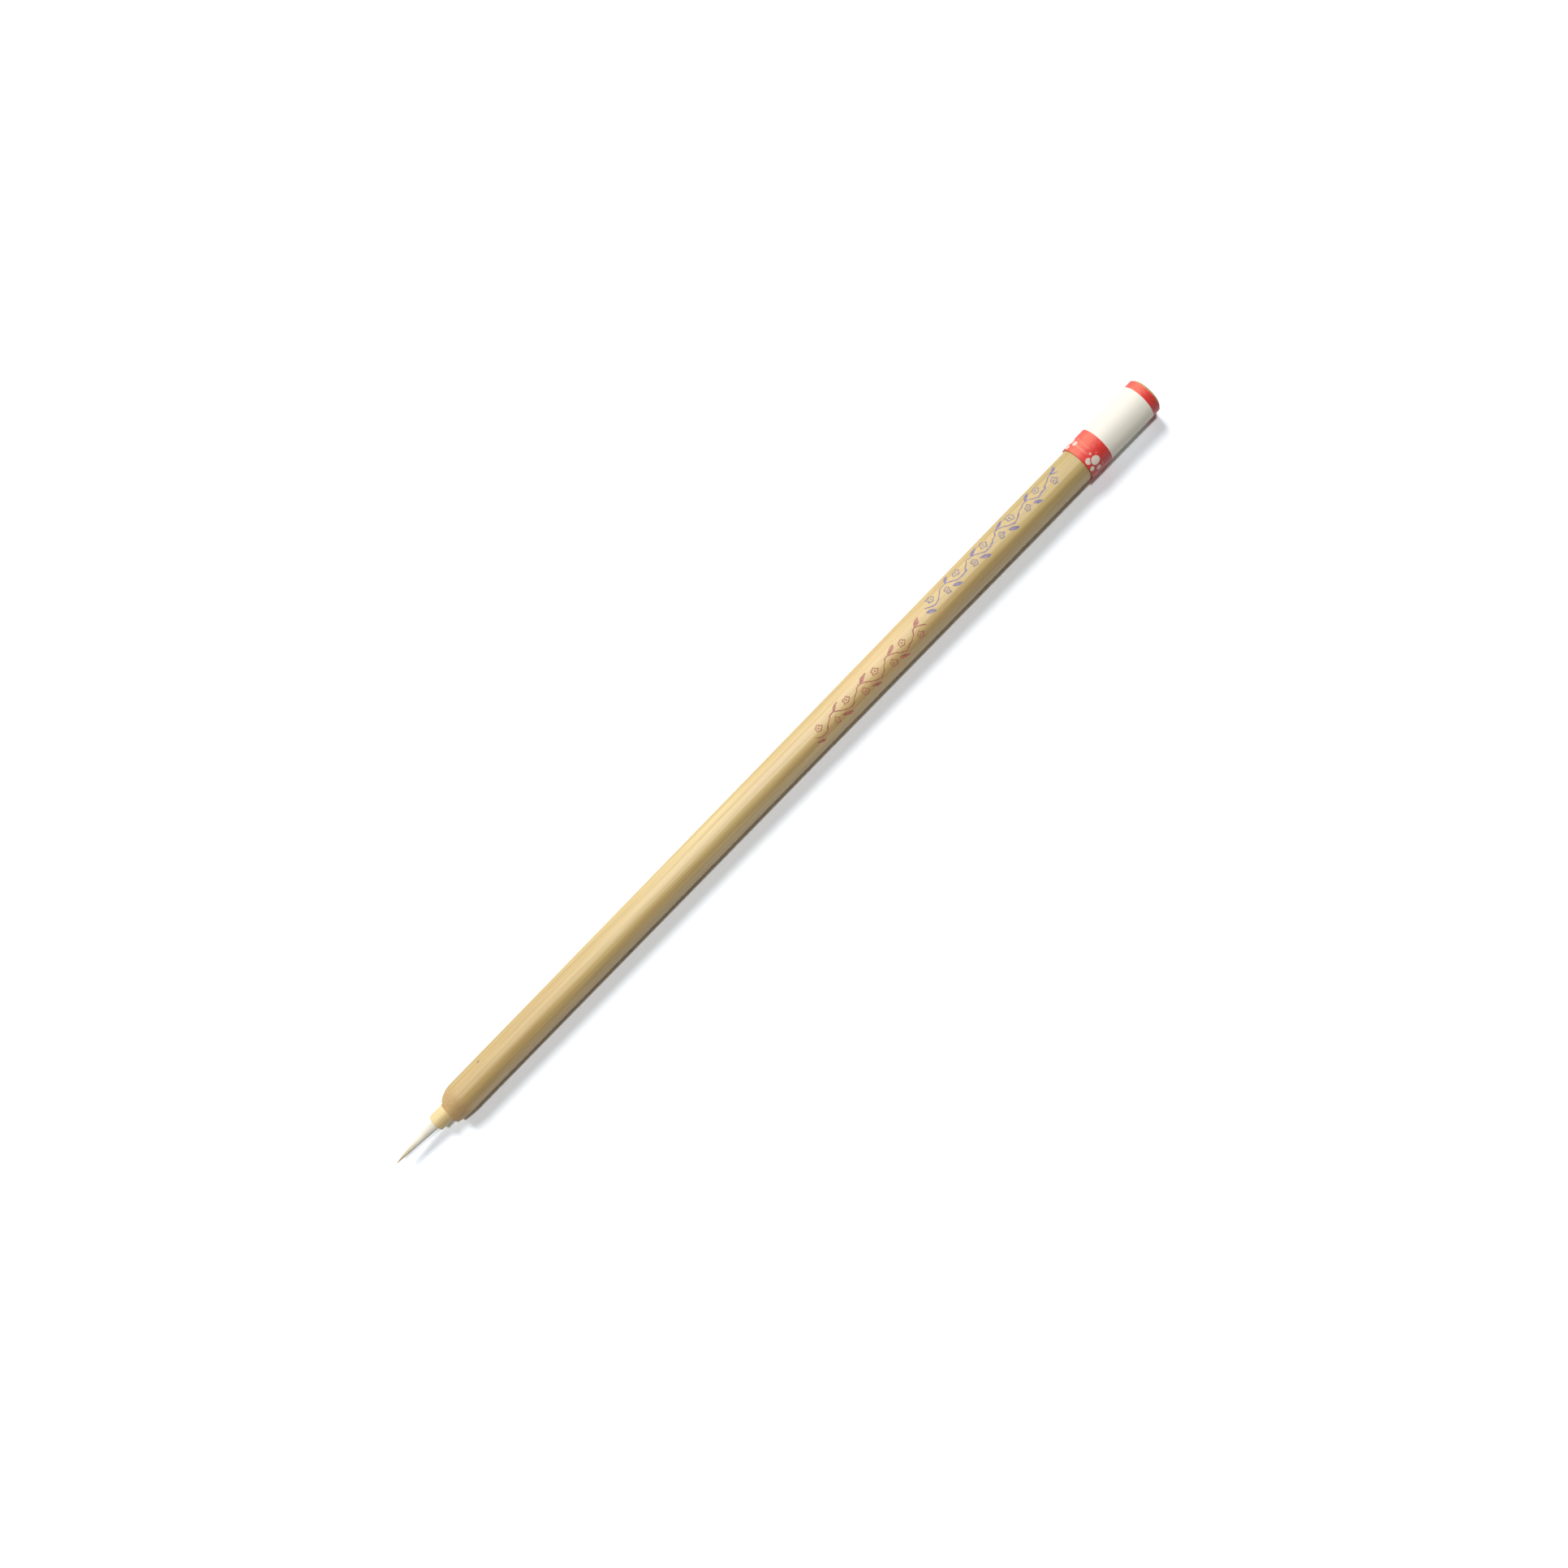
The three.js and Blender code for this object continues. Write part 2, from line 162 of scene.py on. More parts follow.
class Board:
    """The node tree of one finish, and the few ways in which nodes are put on it."""

    def __init__(self, owner: bpy.types.Material | bpy.types.World) -> None:
        """Empties the node tree of a material or a world."""
        owner.use_nodes = True
        self.owner = owner
        self.tree = owner.node_tree
        self.tree.nodes.clear()

    @classmethod
    def for_finish(cls, name: str) -> "Board":
        """Returns the board of a new material."""
        return cls(bpy.data.materials.new(name))

    def node(
        self,
        kind: str,
        settings: Mapping[str, Any] | None = None,
        inputs: Mapping[str | int, Any] | None = None,
        output: str | int = 0,
    ) -> Wire:
        """Adds a node.

        Args:
            kind: The node's type.
            settings: Its own properties. Stops are a ramp's positions and colours.
            inputs: Values or wires for its sockets, by name or place.
            output: The socket that the wire leaves from.

        Returns:
            A wire from that socket, or an empty wire where the node has none.
        """
        made = self.tree.nodes.new(kind)
        for name, value in (settings or {}).items():
            if name == "stops":
                self._set_stops(made.color_ramp, value)
            else:
                setattr(made, name, value)
        for key, value in (inputs or {}).items():
            if isinstance(value, Wire):
                self.tree.links.new(value.socket, made.inputs[key])
            else:
                made.inputs[key].default_value = value
        return Wire(self, made.outputs[output] if len(made.outputs) else None)

    @staticmethod
    def _set_stops(ramp: bpy.types.ColorRamp, stops: Stops) -> None:
        """Gives a colour ramp its stops, first to last."""
        while len(ramp.elements) < len(stops):
            ramp.elements.new(1.0)
        for element, (position, colour) in zip(ramp.elements, stops):
            element.position = position
            element.color = colour

    def math(self, operation: str, *values: Wire | float) -> Wire:
        """Returns the result of a Math node."""
        return self.node("ShaderNodeMath", {"operation": operation}, dict(enumerate(values)))

    def split(self, vector: Wire) -> tuple[Wire, Wire, Wire]:
        """Returns the three parts of a vector."""
        first = self.node("ShaderNodeSeparateXYZ", {}, {"Vector": vector})
        x, y, z = (Wire(self, socket) for socket in first.socket.node.outputs)
        return x, y, z

    def joined(self, x: Wire, y: Wire) -> Wire:
        """Returns a flat vector made of two values."""
        return self.node("ShaderNodeCombineXYZ", {}, {0: x, 1: y})

    def mix(
        self, low: Wire | Colour, high: Wire | Colour, share: Wire | float, way: str = "MIX"
    ) -> Wire:
        """Returns two colours mixed by a share.

        Args:
            low: The colour at a share of 0.
            high: The colour at a share of 1.
            share: How much of the second colour there is.
            way: How the second colour is laid on the first.

        Returns:
            The mixed colour.
        """
        settings = {"data_type": "RGBA", "blend_type": way, "clamp_factor": True}
        return self.node("ShaderNodeMix", settings, {0: share, 6: low, 7: high}, output=2)

    def ramp(self, value: Wire, stops: Stops) -> Wire:
        """Returns the colour that a ramp gives a value."""
        return self.node("ShaderNodeValToRGB", {"stops": stops}, {"Fac": value})

    def brush_place(self) -> Wire:
        """Returns the place on the brush in millimetres, measured from its axis."""
        own = self.node("ShaderNodeTexCoord", output="Object")
        return self._mapped(own, (1 / MM, 1 / MM, 1 / MM), (0, 0, -AXIS_HEIGHT))

    def _mapped(self, vector: Wire, scale: Point, location: Point) -> Wire:
        """Returns a vector that is scaled and then moved."""
        inputs = {"Vector": vector, "Scale": scale, "Location": location}
        return self.node("ShaderNodeMapping", {"vector_type": "POINT"}, inputs)

    def arc(self, y: Wire, z: Wire, radius: float) -> Wire:
        """Returns the way round a piece of the given radius, from its top line."""
        return self.math("ARCTAN2", -y, z) * radius

    def grain(
        self, place: Wire, length: float, width: float, detail: float = 2.0, shift: float = 0.0
    ) -> Wire:
        """Returns a pattern of streaks along the brush.

        Args:
            place: The place on the brush in millimetres.
            length: How long a streak is.
            width: How wide a streak is.
            detail: How many finer layers lie on it.
            shift: Moves the pattern, so that two patterns differ.

        Returns:
            A wire from about 0 to 1.
        """
        scale = (1 / length, 1 / width, 1 / width)
        return self.noise(self._mapped(place, scale, (shift, shift, shift)), 1.0, detail)

    def noise(
        self, place: Wire, scale: float, detail: float, roughness: float = 0.55, kind: str = "3D"
    ) -> Wire:
        """Returns plain cloudy noise."""
        inputs = {"Vector": place, "Scale": scale, "Detail": detail, "Roughness": roughness}
        return self.node("ShaderNodeTexNoise", {"noise_dimensions": kind}, inputs)

    def relief(self, *layers: tuple[Wire, float]) -> Wire:
        """Returns a normal with relief.

        Args:
            layers: Heights from 0 to 1, each with what a height of 1 measures in millimetres.

        Returns:
            The normal, with the first layer lowest.
        """
        inputs: dict[str | int, Any] = {"Strength": 1.0}
        for height, depth in layers:
            inputs |= {"Distance": depth * MM, "Height": height}
            inputs["Normal"] = self.node("ShaderNodeBump", {}, inputs)
        return inputs["Normal"]

    def finish(self, **sockets: Any) -> bpy.types.Material:
        """Ends the board in a Principled shader, whose inputs are named with underscores here."""
        inputs = {name.replace("_", " "): value for name, value in sockets.items()}
        return self.surface(self.node("ShaderNodeBsdfPrincipled", {}, inputs))

    def surface(self, shader: Wire) -> Any:
        """Joins a shader to the output and returns the board's owner."""
        kind = "World" if isinstance(self.owner, bpy.types.World) else "Material"
        self.node(f"ShaderNodeOutput{kind}", {}, {"Surface": shader})
        return self.owner

    def seen_rays(self) -> Wire:
        """Returns 1 for the rays that show a thing to the camera, also by way of gloss or glass."""
        path = self.node("ShaderNodeLightPath", output="Is Camera Ray")
        outputs = path.socket.node.outputs
        glossy = Wire(self, outputs["Is Glossy Ray"])
        through = Wire(self, outputs["Is Transmission Ray"])
        return path.most(glossy).most(through)


# Shapes


def turned(profile: Sequence[Pair], sides: int) -> bmesh.types.BMesh:
    """Turns a closed outline round the brush's axis.

    Args:
        profile: Points of x and radius. The last joins the first.
        sides: How many steps go round.

    Returns:
        A closed shape with outward faces.
    """
    shape = bmesh.new()
    corners = [shape.verts.new((x, 0.0, radius)) for x, radius in profile]
    edges = [shape.edges.new(pair) for pair in zip(corners, corners[1:] + corners[:1])]
    bmesh.ops.spin(
        shape,
        geom=corners + edges,
        cent=(0, 0, 0),
        axis=(1, 0, 0),
        angle=math.tau,
        steps=sides,
        use_merge=True,
    )
    bmesh.ops.remove_doubles(shape, verts=shape.verts, dist=WELD)
    bmesh.ops.recalc_face_normals(shape, faces=shape.faces)
    return shape


def quarter_round(start: Pair, end: Pair, steps: int) -> list[Pair]:
    """Returns a quarter ellipse that leaves its start upright and meets its end level."""
    turns = [index / steps * math.pi / 2 for index in range(steps + 1)]
    return [
        (
            end[0] - (end[0] - start[0]) * math.cos(turn),
            start[1] + (end[1] - start[1]) * math.sin(turn),
        )
        for turn in turns
    ]


def scale_across(vertex: bmesh.types.BMVert, share: float) -> None:
    """Moves a corner straight to or from the axis, to a share of its distance."""
    x, y, z = vertex.co
    vertex.co = (x, y * share, z * share)


def finished(
    shape: bmesh.types.BMesh,
    name: str,
    material: bpy.types.Material,
    sharp_angle: float = 40.0,
) -> bpy.types.Object:
    """Brings a shape from millimetres about the axis into the shared frame as an object.

    Args:
        shape: The shape, which is freed.
        name: The piece's name.
        material: Its finish.
        sharp_angle: Edges that turn by more degrees than this stay crisp.

    Returns:
        The new object, at the origin.
    """
    bmesh.ops.scale(shape, vec=(MM, MM, MM), verts=shape.verts)
    bmesh.ops.translate(shape, vec=(0, 0, AXIS_HEIGHT * MM), verts=shape.verts)
    for face in shape.faces:
        face.smooth = True
    for edge in shape.edges:
        edge.smooth = edge.calc_face_angle(0.0) < math.radians(sharp_angle)
    mesh = bpy.data.meshes.new(name)
    shape.to_mesh(mesh)
    shape.free()
    mesh.materials.append(material)
    return linked(bpy.data.objects.new(name, mesh))


def linked(made: bpy.types.Object) -> bpy.types.Object:
    """Puts an object into the scene and returns it."""
    bpy.context.scene.collection.objects.link(made)
    return made


def report(piece: bpy.types.Object) -> None:
    """Logs a piece with its count of triangles."""
    piece.data.calc_loop_triangles()
    LOG.info("%s: %d triangles", piece.name, len(piece.data.loop_triangles))


# Finishes of the bamboo


@dataclass(frozen=True)
class VineRow:
    """One row of a small engraved vine with blossoms, inked and worn.

    The vine sways along the stem, with a blossom in each bend and a leaf on the outer side.
    """

    start: float
    end: float
    arc: float
    period: float
    sway: float
    ink: Colour
    deep_ink: Colour
    wander: Pair = (1.6, 0.9)
    tremble: float = 0.35
    line: float = 0.13
    softness: float = 0.07
    fading: float = 0.2
    blossom: float = 0.66
    petals: int = 5
    leaf_place: Pair = (1.3, 0.5)
    leaf_lean: float = 0.5
    leaf_reach: float = 1.15
    leaf_width: float = 0.36

    def mask(self, board: Board, place: Wire, x: Wire, arc: Wire) -> Wire:
        """Draws the row.

        Args:
            board: The stem's board.
            place: The place on the brush in millimetres.
            x: The place along the brush.
            arc: The way round the stem from its top line.

        Returns:
            A mask that is 1 on the engraved lines.
        """
        length = self.end - self.start
        wander = board.noise(place, 0.45, 1.0) - 0.5
        tremble = (board.noise(place, 1.9, 1.0) - 0.5) * self.tremble
        along = x - self.start + wander * self.wander[0]
        across = arc - self.arc + wander * self.wander[1]
        wave = (along * (math.tau / self.period)).math("SINE") * self.sway
        stem = abs(across - wave + tremble).below(self.line, self.softness)
        shapes = stem * along.above(0.0, self.fading) * along.below(length, self.fading)
        half = self.period / 2
        for quarter, side in ((0.25, 1.0), (0.75, -1.0)):
            step = (along - quarter * self.period).math("WRAP", half, -half)
            middle = along - step
            whole = middle.above(0.0, 0.01) * middle.below(length, 0.01)
            bloom = self._blossom(board, step, across + side * self.sway * 0.8)
            outside = across - side * (self.sway + self.leaf_place[1])
            leaf = self._leaf(step + side * self.leaf_place[0], outside, side)
            shapes = shapes.most(bloom.most(leaf) * whole)
        return shapes

    def _blossom(self, board: Board, along: Wire, across: Wire) -> Wire:
        """Returns the outline and the eye of a blossom."""
        reach = distance(along, across)
        turn = board.math("ARCTAN2", across, along) * (self.petals / 2)
        petal = abs(turn.math("COSINE")) * (self.blossom * 0.42) + self.blossom * 0.68
        outline = reach.near(petal, self.line * 0.85, self.softness)
        return outline.most(reach.below(self.line * 1.35, self.softness))

    def _leaf(self, along: Wire, across: Wire, side: float) -> Wire:
        """Returns a slim leaf that leans off the vine."""
        level, rise = math.cos(self.leaf_lean * side), math.sin(self.leaf_lean * side)
        length = along * level + across * rise
        width = across * level - along * rise
        swell = self.leaf_width - length * length * (self.leaf_width / self.leaf_reach**2)
        return (swell - abs(width)).above(0.0, self.softness)


@dataclass(frozen=True)
class StemBamboo:
    """Bamboo with its satin skin: sanded at the nose, sawn at the butt, engraved with two vines."""

    nose_end: float
    bore_radius: float
    radius: float
    skin: Stops = (
        (0.34, srgb(187, 159, 96)),
        (0.5, srgb(210, 183, 118)),
        (0.66, srgb(229, 205, 145)),
    )
    slow_tones: Stops = (
        (0.0, srgb(236, 228, 212)),
        (0.22, srgb(244, 240, 228)),
        (0.4, srgb(255, 255, 255)),
        (0.62, srgb(255, 249, 244)),
        (0.74, srgb(242, 238, 230)),
        (1.0, srgb(224, 226, 208)),
    )
    blush: Colour = srgb(220, 179, 127)
    # Painted shade: a darker tint laid in a band along the side of the stem away from the key
    # light.
    brown: Colour = srgb(223, 216, 203)
    shade_arc: float = 1.75
    # Painted shade: a darker tint for the stem's underside.
    underside_shade: Colour = srgb(238, 228, 208)
    sanded: Stops = ((0.3, srgb(185, 150, 95)), (0.7, srgb(203, 170, 113)))
    sanded_shade: Colour = srgb(228, 222, 214)
    sawn: Colour = srgb(205, 176, 124)
    bundle: Colour = srgb(126, 88, 48)
    bundles: tuple[Point, ...] = ((2.6, 0.0, 0.25), (4.2, 2.2, 0.24), (6.5, 2.9, 0.3))
    speck: Colour = srgb(122, 84, 52)
    speck_place: Pair = (-79.1, -2.85)
    speck_size: Pair = (0.42, 0.34)
    rows: tuple[VineRow, ...] = (
        VineRow(11.4, 42.2, 0.55, 7.7, 0.95, srgb(178, 85, 77), srgb(137, 56, 60)),
        VineRow(44.4, 81.4, -1.7, 7.4, 0.85, srgb(125, 118, 164), srgb(85, 81, 148)),
    )

    def paint(self) -> bpy.types.Material:
        """Returns the stem's material."""
        board = Board.for_finish("stem_bamboo")
        place = board.brush_place()
        x, y, z = board.split(place)
        arc = board.arc(y, z, self.radius)
        streak = board.grain(place, 30, 0.42, 3.0)
        hairline = board.grain(place, 8, 0.12)
        tone = board.grain(place, 70, 1.7) * 0.4 + streak * 0.4 + hairline * 0.2
        skin = self._toned(board, board.ramp(tone, self.skin), place, x, arc)
        skin = self._specked(board, skin, x, arc)
        colour, marks = self._engraved(board, skin, place, x, arc)
        sanding = board.grain(place, 3.5, 0.25, 3.0)
        # Painted shade: the sanded nose is darkened on the side away from the key light, like the
        # stem.
        shade_side = arc.near(self.shade_arc, 1.4, 1.4)
        sanded = board.ramp(sanding, self.sanded)
        sanded = board.mix(sanded, self.sanded_shade, shade_side, "MULTIPLY")
        nose = self._nose(board, place, x)
        colour = board.mix(colour, sanded, nose)
        bore = distance(y, z).below(self.bore_radius + 0.03, 0.03)
        sawn = x.above(BUTT_X - 0.03, 0.02).most(bore)
        colour = board.mix(colour, self._sawn_face(board, place), sawn)
        matte = nose.most(sawn)
        relief = ((streak, 0.03), (hairline, 0.008), (sanding * matte, 0.004), (1 - marks, 0.035))
        return board.finish(
            Base_Color=colour,
            Roughness=0.37 + streak * 0.12 + matte * 0.2 + marks * 0.1,
            Normal=board.relief(*relief),
            Specular_IOR_Level=0.8,
            Diffuse_Roughness=0.1,
        )

    def _toned(self, board: Board, skin: Wire, place: Wire, x: Wire, arc: Wire) -> Wire:
        """Returns the skin with its slow changes from nose to butt, and painted shade: a darker
        band along the side away from the key light and a darker underside.
        """
        along = (x - NOSE_X) / (BUTT_X - NOSE_X)
        toned = board.mix(skin, board.ramp(along, self.slow_tones), 1.0, "MULTIPLY")
        blush = board.grain(place, 24, 1.5, 2.0, 7.3).above(0.6, 0.12) * 0.22
        toned = board.mix(toned, self.blush, blush)
        # Painted shade: a darker band along the side away from the key light.
        painted_shade_band = (arc + (blush - 0.1) * 2).near(self.shade_arc, 0.9, 0.9)
        toned = board.mix(toned, self.brown, painted_shade_band, "MULTIPLY")
        # Painted shade: the underside is darkened where little light reaches it.
        underside_shade = abs(arc).above(4.0, 1.3) * arc.above(0.0, 0.5)
        return board.mix(toned, self.underside_shade, underside_shade, "MULTIPLY")

    def _specked(self, board: Board, skin: Wire, x: Wire, arc: Wire) -> Wire:
        """Returns the skin with the small brown speck behind the nose."""
        along = (x - self.speck_place[0]) / self.speck_size[0]
        across = (arc - self.speck_place[1]) / self.speck_size[1]
        return board.mix(skin, self.speck, distance(along, across).below(0.8, 0.35) * 0.6)

    def _engraved(
        self, board: Board, skin: Wire, place: Wire, x: Wire, arc: Wire
    ) -> tuple[Wire, Wire]:
        """Returns the skin with its inked vines, and the mask of their lines."""
        worn = board.noise(place, 1.6, 3.0)
        masks = [row.mask(board, place, x, arc) for row in self.rows]
        for row, mask in zip(self.rows, masks):
            ink = board.mix(row.ink, row.deep_ink, worn.above(0.5, 0.15))
            skin = board.mix(skin, ink, mask * (0.6 + worn * 0.5))
        return skin, most_of(masks)

    def _nose(self, board: Board, place: Wire, x: Wire) -> Wire:
        """Returns the mask of the sanded nose, whose edge wanders a little."""
        edge = x + board.noise(place, 0.6, 2.0) * 0.9
        return edge.below(self.nose_end + 0.2, 1.3)

    def _sawn_face(self, board: Board, place: Wire) -> Wire:
        """Returns the colour of the sawn end, with its dark bundles denser towards the rim."""
        inputs = {0: place, 1: (0.0, 1.0, 1.0)}
        flat = board.node("ShaderNodeVectorMath", {"operation": "MULTIPLY"}, inputs)
        reach = board.node("ShaderNodeVectorMath", {"operation": "LENGTH"}, {0: flat}, "Value")
        dots = []
        for scale, start, size in self.bundles:
            inputs = {"Vector": flat, "Scale": scale}
            cells = board.node("ShaderNodeTexVoronoi", {"feature": "F1"}, inputs, "Distance")
            dots.append(cells.below(size, 0.1) * reach.above(start, 0.15))
        face = board.mix(self.sawn, self.bundle, board.noise(flat, 3.0, 4.0) * 0.25)
        return board.mix(face, self.bundle, most_of(dots) * 0.75)


@dataclass(frozen=True)
class FerruleBamboo:
    """Pale scraped bamboo without its skin."""

    tones: Stops = ((0.32, srgb(229, 201, 144)), (0.62, srgb(247, 224, 170)))
    soiled: Colour = srgb(182, 151, 101)
    # Painted shade: a darker tint for the side of the ferrule away from the key light.
    ferrule_shade: Colour = srgb(236, 230, 220)

    def paint(self) -> bpy.types.Material:
        """Returns the ferrule's material."""
        board = Board.for_finish("ferrule_bamboo")
        place = board.brush_place()
        x, y, z = board.split(place)
        streak = board.grain(place, 6, 0.28, 3.0, 3.1)
        fine = board.grain(place, 2.5, 0.09, 2.0, 5.2)
        colour = board.ramp(streak * 0.65 + fine * 0.35, self.tones)
        arc = board.arc(y, z, FERRULE_RADIUS)
        # Painted shade: the side of the ferrule away from the key light is darkened.
        painted_shade_band = (arc + (streak - 0.5) * 0.6).near(0.75, 0.7, 0.6)
        colour = board.mix(colour, self.ferrule_shade, painted_shade_band, "MULTIPLY")
        seam = x.above(NOSE_X + 0.05, 0.16) * 0.8
        rim = x.below(MOUTH_X + 0.1, 0.12) * 0.3
        return board.finish(
            Base_Color=board.mix(colour, self.soiled, seam.most(rim)),
            Roughness=0.5 + fine * 0.2,
            Normal=board.relief((streak, 0.02), (fine, 0.008)),
            Specular_IOR_Level=0.35,
        )


# Finish of the label


@dataclass(frozen=True)
class Disc:
    """One white disc of a printed blossom, by its place from the blossom's heart."""

    along: float
    across: float
    radius: float
    print_share: float = 1.0

    def edge(self, along: Wire, across: Wire) -> Wire:
        """Returns how far outside the disc a place lies."""
        return distance(along - self.along, across - self.across) - self.radius


@dataclass(frozen=True)
class LabelPaper:
    """Off-white paper printed with a red band at each edge and blossoms in the front band."""

    length: float
    winding: float
    radius: float
    top_turn: float
    front_band: float = 5.45
    rear_band: float = 1.74
    paper: Colour = srgb(252, 248, 237)
    shade: Colour = srgb(242, 235, 218)
    # Painted light: a lighter, warmer paper tone for the side away from the key light.
    painted_bounce: Colour = srgb(254, 247, 227)
    red: Colour = srgb(236, 32, 20)
    deep_red: Colour = srgb(188, 12, 14)
    # Painted highlight: a paler, oranger red for the upper side of the red bands that faces the key
    # light.
    painted_highlight_red: Colour = srgb(249, 142, 108)
    painted_highlight_arc: float = -2.5
    print_white: Colour = srgb(238, 228, 212)
    heart: Pair = (2.15, 2.0)
    blossom_pitch: float = 7.7
    middle_disc: Disc = Disc(0.0, 0.0, 0.94)
    outer_discs: tuple[Disc, ...] = (
        Disc(-1.22, -0.86, 0.66, 0.95),
        Disc(-1.5, 0.9, 0.5, 0.95),
        Disc(-0.2, 1.95, 0.55, 0.8),
        Disc(0.0, -1.68, 0.25, 0.6),
        Disc(1.0, -1.0, 0.15, 0.35),
        Disc(0.95, 1.8, 0.16, 0.35),
    )

    def paint(self) -> bpy.types.Material:
        """Returns the label's material."""
        board = Board.for_finish("label_paper")
        u, v, _ = board.split(board.node("ShaderNodeUVMap", {"uv_map": "sheet"}))
        along = u * self.length
        turn = v * self.winding - self.top_turn
        arc = turn * self.radius
        flat = board.joined(along, arc)
        mottle = board.noise(flat, 1.3, 4.0)
        fibres = board.noise(board.joined(along * 1.4, arc * 5.0), 1.6, 4.0, 0.7, "2D")
        paper = board.mix(self.paper, self.shade, mottle * 0.55 + fibres * 0.35)
        # Painted light: the paper is lighter and warmer on the side away from the key light,
        # standing in for light bounced up from the table.
        paper = board.mix(paper, self.painted_bounce, arc.above(2.6, 2.4) * 0.85)
        edge = along + (board.noise(flat, 2.4, 3.0) - 0.5) * 0.12
        front = edge.below(self.front_band, 0.05)
        bands = front.most(edge.above(self.length - self.rear_band, 0.05))
        # Painted shade: the red ink turns deeper red on the side away from the key light; the
        # mottle adds uneven inking on top.
        shaded = arc.above(1.9, 1.8) * arc.below(7.0, 2.0)
        ink = board.mix(self.red, self.deep_red, mottle.above(0.52, 0.3) * 0.35 + shaded * 0.85)
        # Painted highlight: the red turns paler and oranger along the upper side facing the key
        # light, patchy with the mottle.
        painted_highlight = (arc + (mottle - 0.5) * 2).near(self.painted_highlight_arc, 1.4, 1.4)
        ink = board.mix(ink, self.painted_highlight_red, painted_highlight * (0.3 + mottle * 0.45))
        ink = board.mix(ink, self.print_white, self._streaks(along, turn, fibres) * 0.17)
        colour = board.mix(paper, ink, bands * (0.93 + mottle * 0.07))
        colour = board.mix(colour, self.print_white, self._blossoms(along, arc) * front)
        return board.finish(
            Base_Color=colour,
            Roughness=0.58 - bands * 0.2 + mottle * 0.08,
            Normal=board.relief((fibres, 0.006)),
            Specular_IOR_Level=0.38,
        )

    def _blossoms(self, along: Wire, arc: Wire) -> Wire:
        """Returns the mask of the white blossoms, which repeat along the strip."""
        half = self.blossom_pitch / 2
        step = (arc - self.heart[1]).math("WRAP", half, -half)
        reach = along - self.heart[0]
        middle = self.middle_disc.edge(reach, step)
        outer = most_of(
            disc.edge(reach, step).below(0.0, 0.09) * disc.print_share for disc in self.outer_discs
        )
        return middle.below(0.0, 0.09).most(outer * (1 - middle.below(0.24, 0.06)))

    def _streaks(self, along: Wire, turn: Wire, fibres: Wire) -> Wire:
        """Returns two faint pale streaks round the front band, where the print is worn."""
        upper = turn.above(-0.95, 0.25) * turn.below(-0.1, 0.2)
        streaks = along.near(1.66, 0.17, 0.16).most(along.near(2.77, 0.12, 0.12) * 0.7)
        return streaks * upper * (0.6 + fibres * 0.6)


# Finishes of the hair and of what lies inside


class Hair(Enum):
    """The three kinds of hair in the tuft, from the middle outwards."""

    CORE = "core_hairs"
    BELLY = "belly_hairs"
    COVER = "cover_hairs"


@dataclass(frozen=True)
class HairFinish:
    """Animal hair whose colour changes from its root to its tip."""

    name: str
    stops: Stops
    darker: Colour
    spread: float = 0.35

    def paint(self) -> bpy.types.Material:
        """Returns the material, which reads the share of the free length and each hair's tint."""
        board = Board.for_finish(self.name)
        share, tint, _ = board.split(board.node("ShaderNodeUVMap", {"uv_map": "strand"}))
        bands = board.noise(board.joined(share * 3.0, tint * 57.0), 4.0, 2.0)
        darker = (tint * 0.6 + bands * 0.4).above(0.55, 0.3) * self.spread
        return board.finish(
            Base_Color=board.mix(board.ramp(share, self.stops), self.darker, darker),
            Roughness=0.42 + bands * 0.12,
            Specular_IOR_Level=0.35,
            Sheen_Weight=0.6,
            Sheen_Roughness=0.5,
        )


HAIR_FINISHES: dict[Hair, HairFinish] = {
    Hair.CORE: HairFinish(
        "brown_hair",
        (
            (0.0, srgb(244, 231, 202)),
            (0.5, srgb(238, 221, 186)),
            (0.66, srgb(228, 204, 161)),
            (0.82, srgb(219, 185, 136)),
            (1.0, srgb(210, 169, 119)),
        ),
        srgb(188, 148, 100),
    ),
    Hair.BELLY: HairFinish(
        "cream_hair",
        ((0.0, srgb(244, 232, 205)), (1.0, srgb(230, 211, 176))),
        srgb(206, 182, 141),
    ),
    Hair.COVER: HairFinish(
        "white_hair",
        (
            (0.0, srgb(254, 250, 236)),
            (0.5, srgb(254, 249, 230)),
            (0.76, srgb(244, 228, 192)),
            (1.0, srgb(220, 190, 140)),
        ),
        srgb(240, 227, 197),
        0.3,
    ),
}


@dataclass(frozen=True)
class HiddenFinish:
    """A finish for a piece inside the brush: two colours in patches, with relief and gloss."""

    name: str
    base: Colour
    patch: Colour
    scale: float
    roughness: float
    relief: float
    coat: float = 0.0

    def paint(self) -> bpy.types.Material:
        """Returns the hidden piece's material."""
        board = Board.for_finish(self.name)
        place = board.brush_place()
        cloud = board.noise(place, self.scale, 4.0)
        fine = board.noise(place, self.scale * 6, 2.0)
        return board.finish(
            Base_Color=board.mix(self.base, self.patch, cloud.above(0.52, 0.18)),
            Roughness=self.roughness + fine * 0.15,
            Normal=board.relief((cloud * 0.7 + fine * 0.3, self.relief)),
            Coat_Weight=self.coat,
        )


